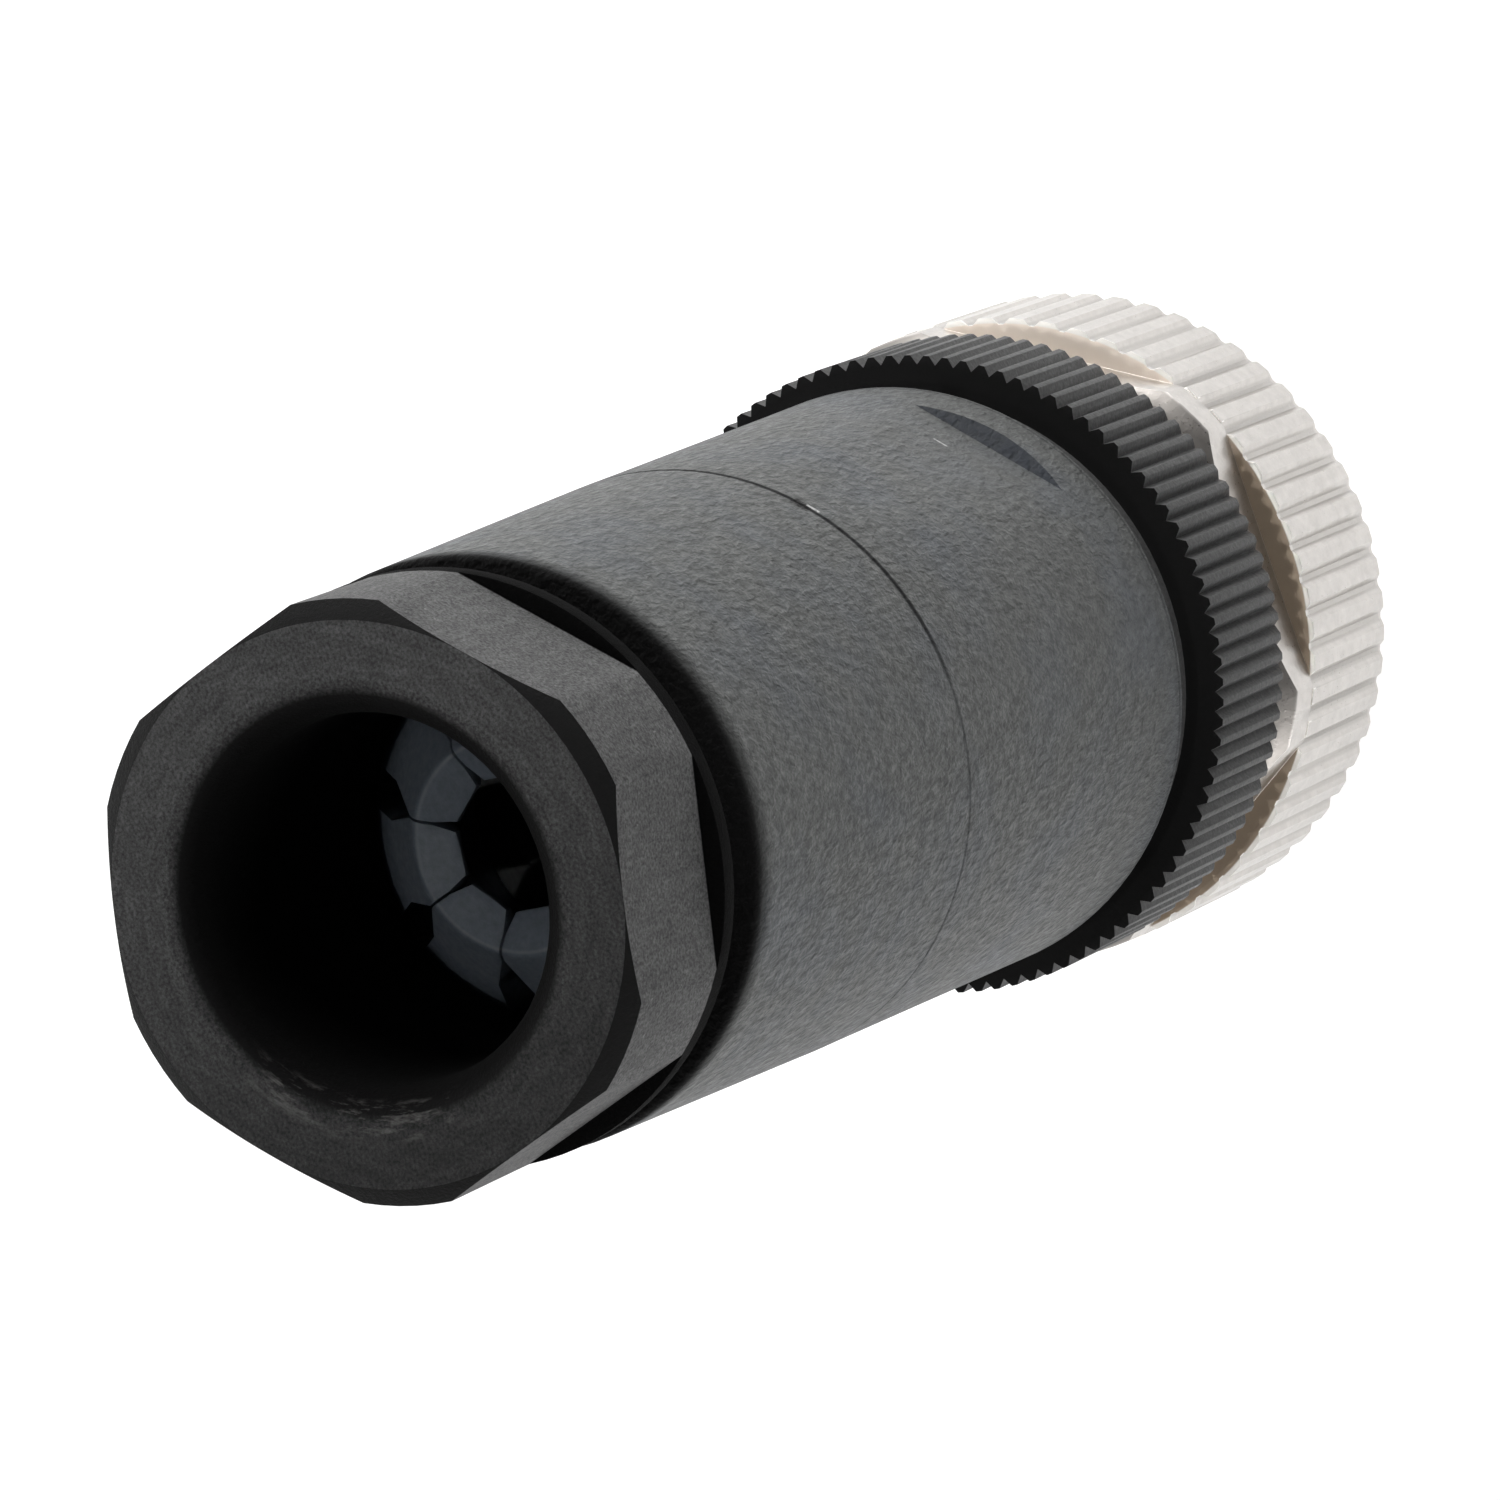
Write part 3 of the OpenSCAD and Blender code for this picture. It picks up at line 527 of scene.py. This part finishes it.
# ---------------------------------------------------------------- floor

def plane(name, size, centre, material):
    mesh = bpy.data.meshes.new(name)
    h = size / 2
    mesh.from_pydata([(-h, -h, 0), (h, -h, 0), (h, h, 0), (-h, h, 0)], [], [(0, 1, 2, 3)])
    obj = bpy.data.objects.new(name, mesh)
    obj.location = centre
    mesh.materials.append(material)
    bpy.context.collection.objects.link(obj)
    return obj


def background_rays(tree):
    """1 for the rays that see the background, which are camera, glossy and transmission rays.

    Gives the Light Path node as well."""
    path = tree.nodes.new("ShaderNodeLightPath")
    value = path.outputs["Is Camera Ray"]
    for name in ("Is Glossy Ray", "Is Transmission Ray"):
        most = tree.nodes.new("ShaderNodeMath")
        most.operation = "MAXIMUM"
        tree.links.new(value, most.inputs[0])
        tree.links.new(path.outputs[name], most.inputs[1])
        value = most.outputs[0]
    return value, path


def floor_material():
    """Pale grey that takes shadows, lifted to white for the rays that see the background."""
    mat = bpy.data.materials.new("white_floor")
    mat.use_nodes = True
    tree = mat.node_tree
    tree.nodes.clear()
    out = tree.nodes.new("ShaderNodeOutputMaterial")
    add = tree.nodes.new("ShaderNodeAddShader")
    diffuse = tree.nodes.new("ShaderNodeBsdfDiffuse")
    diffuse.inputs["Color"].default_value = (*grey(0.6), 1)
    glow = tree.nodes.new("ShaderNodeEmission")
    gain = tree.nodes.new("ShaderNodeMath")
    gain.operation = "MULTIPLY"
    gain.inputs[1].default_value = 0.75
    tree.links.new(background_rays(tree)[0], gain.inputs[0])
    tree.links.new(gain.outputs[0], glow.inputs["Strength"])
    tree.links.new(diffuse.outputs[0], add.inputs[0])
    tree.links.new(glow.outputs[0], add.inputs[1])
    tree.links.new(add.outputs[0], out.inputs[0])
    return mat


just_under = -0.00002
plane("floor", 6.0, (0, 0, just_under), floor_material())


# ---------------------------------------------------------------- light

def sky(tree, rim, middle, dark):
    """A studio that is bright all round and dark on the side the photographer stands on."""
    coord = tree.nodes.new("ShaderNodeTexCoord")
    part = tree.nodes.new("ShaderNodeVectorMath")
    part.operation = "DOT_PRODUCT"
    part.inputs[1].default_value = (0, -0.47, 0.88)
    ramp = tree.nodes.new("ShaderNodeValToRGB")
    ramp.color_ramp.elements.new(0.5)
    stops = ((0.05, rim), (0.5, middle), (0.9, dark))
    for element, (at, value) in zip(ramp.color_ramp.elements, stops):
        element.position = at
        element.color = (*grey(value), 1)
    shade = tree.nodes.new("ShaderNodeBackground")
    tree.links.new(coord.outputs["Generated"], part.inputs[0])
    tree.links.new(part.outputs["Value"], ramp.inputs[0])
    tree.links.new(ramp.outputs[0], shade.inputs["Color"])
    return shade.outputs[0]


def studio():
    """A world that is white to the camera, and one sky for gloss and one for diffuse light."""
    world = bpy.data.worlds.new("studio")
    world.use_nodes = True
    tree = world.node_tree
    tree.nodes.clear()
    out = tree.nodes.new("ShaderNodeOutputWorld")
    white = tree.nodes.new("ShaderNodeBackground")
    seen, path = background_rays(tree)
    backdrop = tree.nodes.new("ShaderNodeMixShader")
    tree.links.new(path.outputs["Is Camera Ray"], backdrop.inputs[0])
    tree.links.new(sky(tree, 0.74, 0.26, 0.06), backdrop.inputs[1])
    tree.links.new(white.outputs[0], backdrop.inputs[2])
    both = tree.nodes.new("ShaderNodeMixShader")
    tree.links.new(seen, both.inputs[0])
    tree.links.new(sky(tree, 0.38, 0.15, 0.10), both.inputs[1])
    tree.links.new(backdrop.outputs[0], both.inputs[2])
    tree.links.new(both.outputs[0], out.inputs[0])
    return world


def lamp(name, kind, place, power, aim):
    """A lamp at place that looks at aim. Gives its data, for the shape of its light."""
    data = bpy.data.lights.new(name, kind)
    data.energy = power
    obj = bpy.data.objects.new(name, data)
    obj.location = place
    obj.rotation_euler = (Vector(aim) - obj.location).to_track_quat("-Z", "Y").to_euler()
    bpy.context.collection.objects.link(obj)
    return data


bpy.context.scene.world = studio()
middle = (0, 0, 0.025)
mouth = (0, 0, 0.0503)
for name, place, size, power in (("top_light", (0.45, -0.10, 0.06), (0.5, 0.4), 4.1),
                                 ("low_light", (-0.45, -0.12, 0.06), (0.4, 0.4), 1.9),
                                 ("far_light", (0.1, 0.45, 0.25), (0.5, 0.5), 1.2)):
    soft_box = lamp(name, "AREA", place, power, middle)
    soft_box.shape = "RECTANGLE"
    soft_box.size, soft_box.size_y = size

# A narrow spot shines through the mouth of the gland nut on the cage.
narrow = lamp("bore_light", "SPOT", (0.0, -0.016, 0.45), 18, mouth)
narrow.spot_size = math.radians(1.5)
narrow.spot_blend = 0.6
narrow.shadow_soft_size = 0.02


# ---------------------------------------------------------------- camera

camera = bpy.data.cameras.new("camera")
camera.sensor_width = 36
camera.lens = 224.775
camera.clip_start = 0.01
cam = bpy.data.objects.new("camera", camera)
cam.matrix_world = Matrix(((-0.384483, 0.923130, -0.001935, -0.000603),
                           (-0.815656, -0.340700, -0.467578, -0.130786),
                           (-0.432294, -0.178197, 0.883950, 0.273067),
                           (0, 0, 0, 1)))
bpy.context.collection.objects.link(cam)
bpy.context.scene.camera = cam
bpy.context.scene.view_settings.view_transform = "Standard"
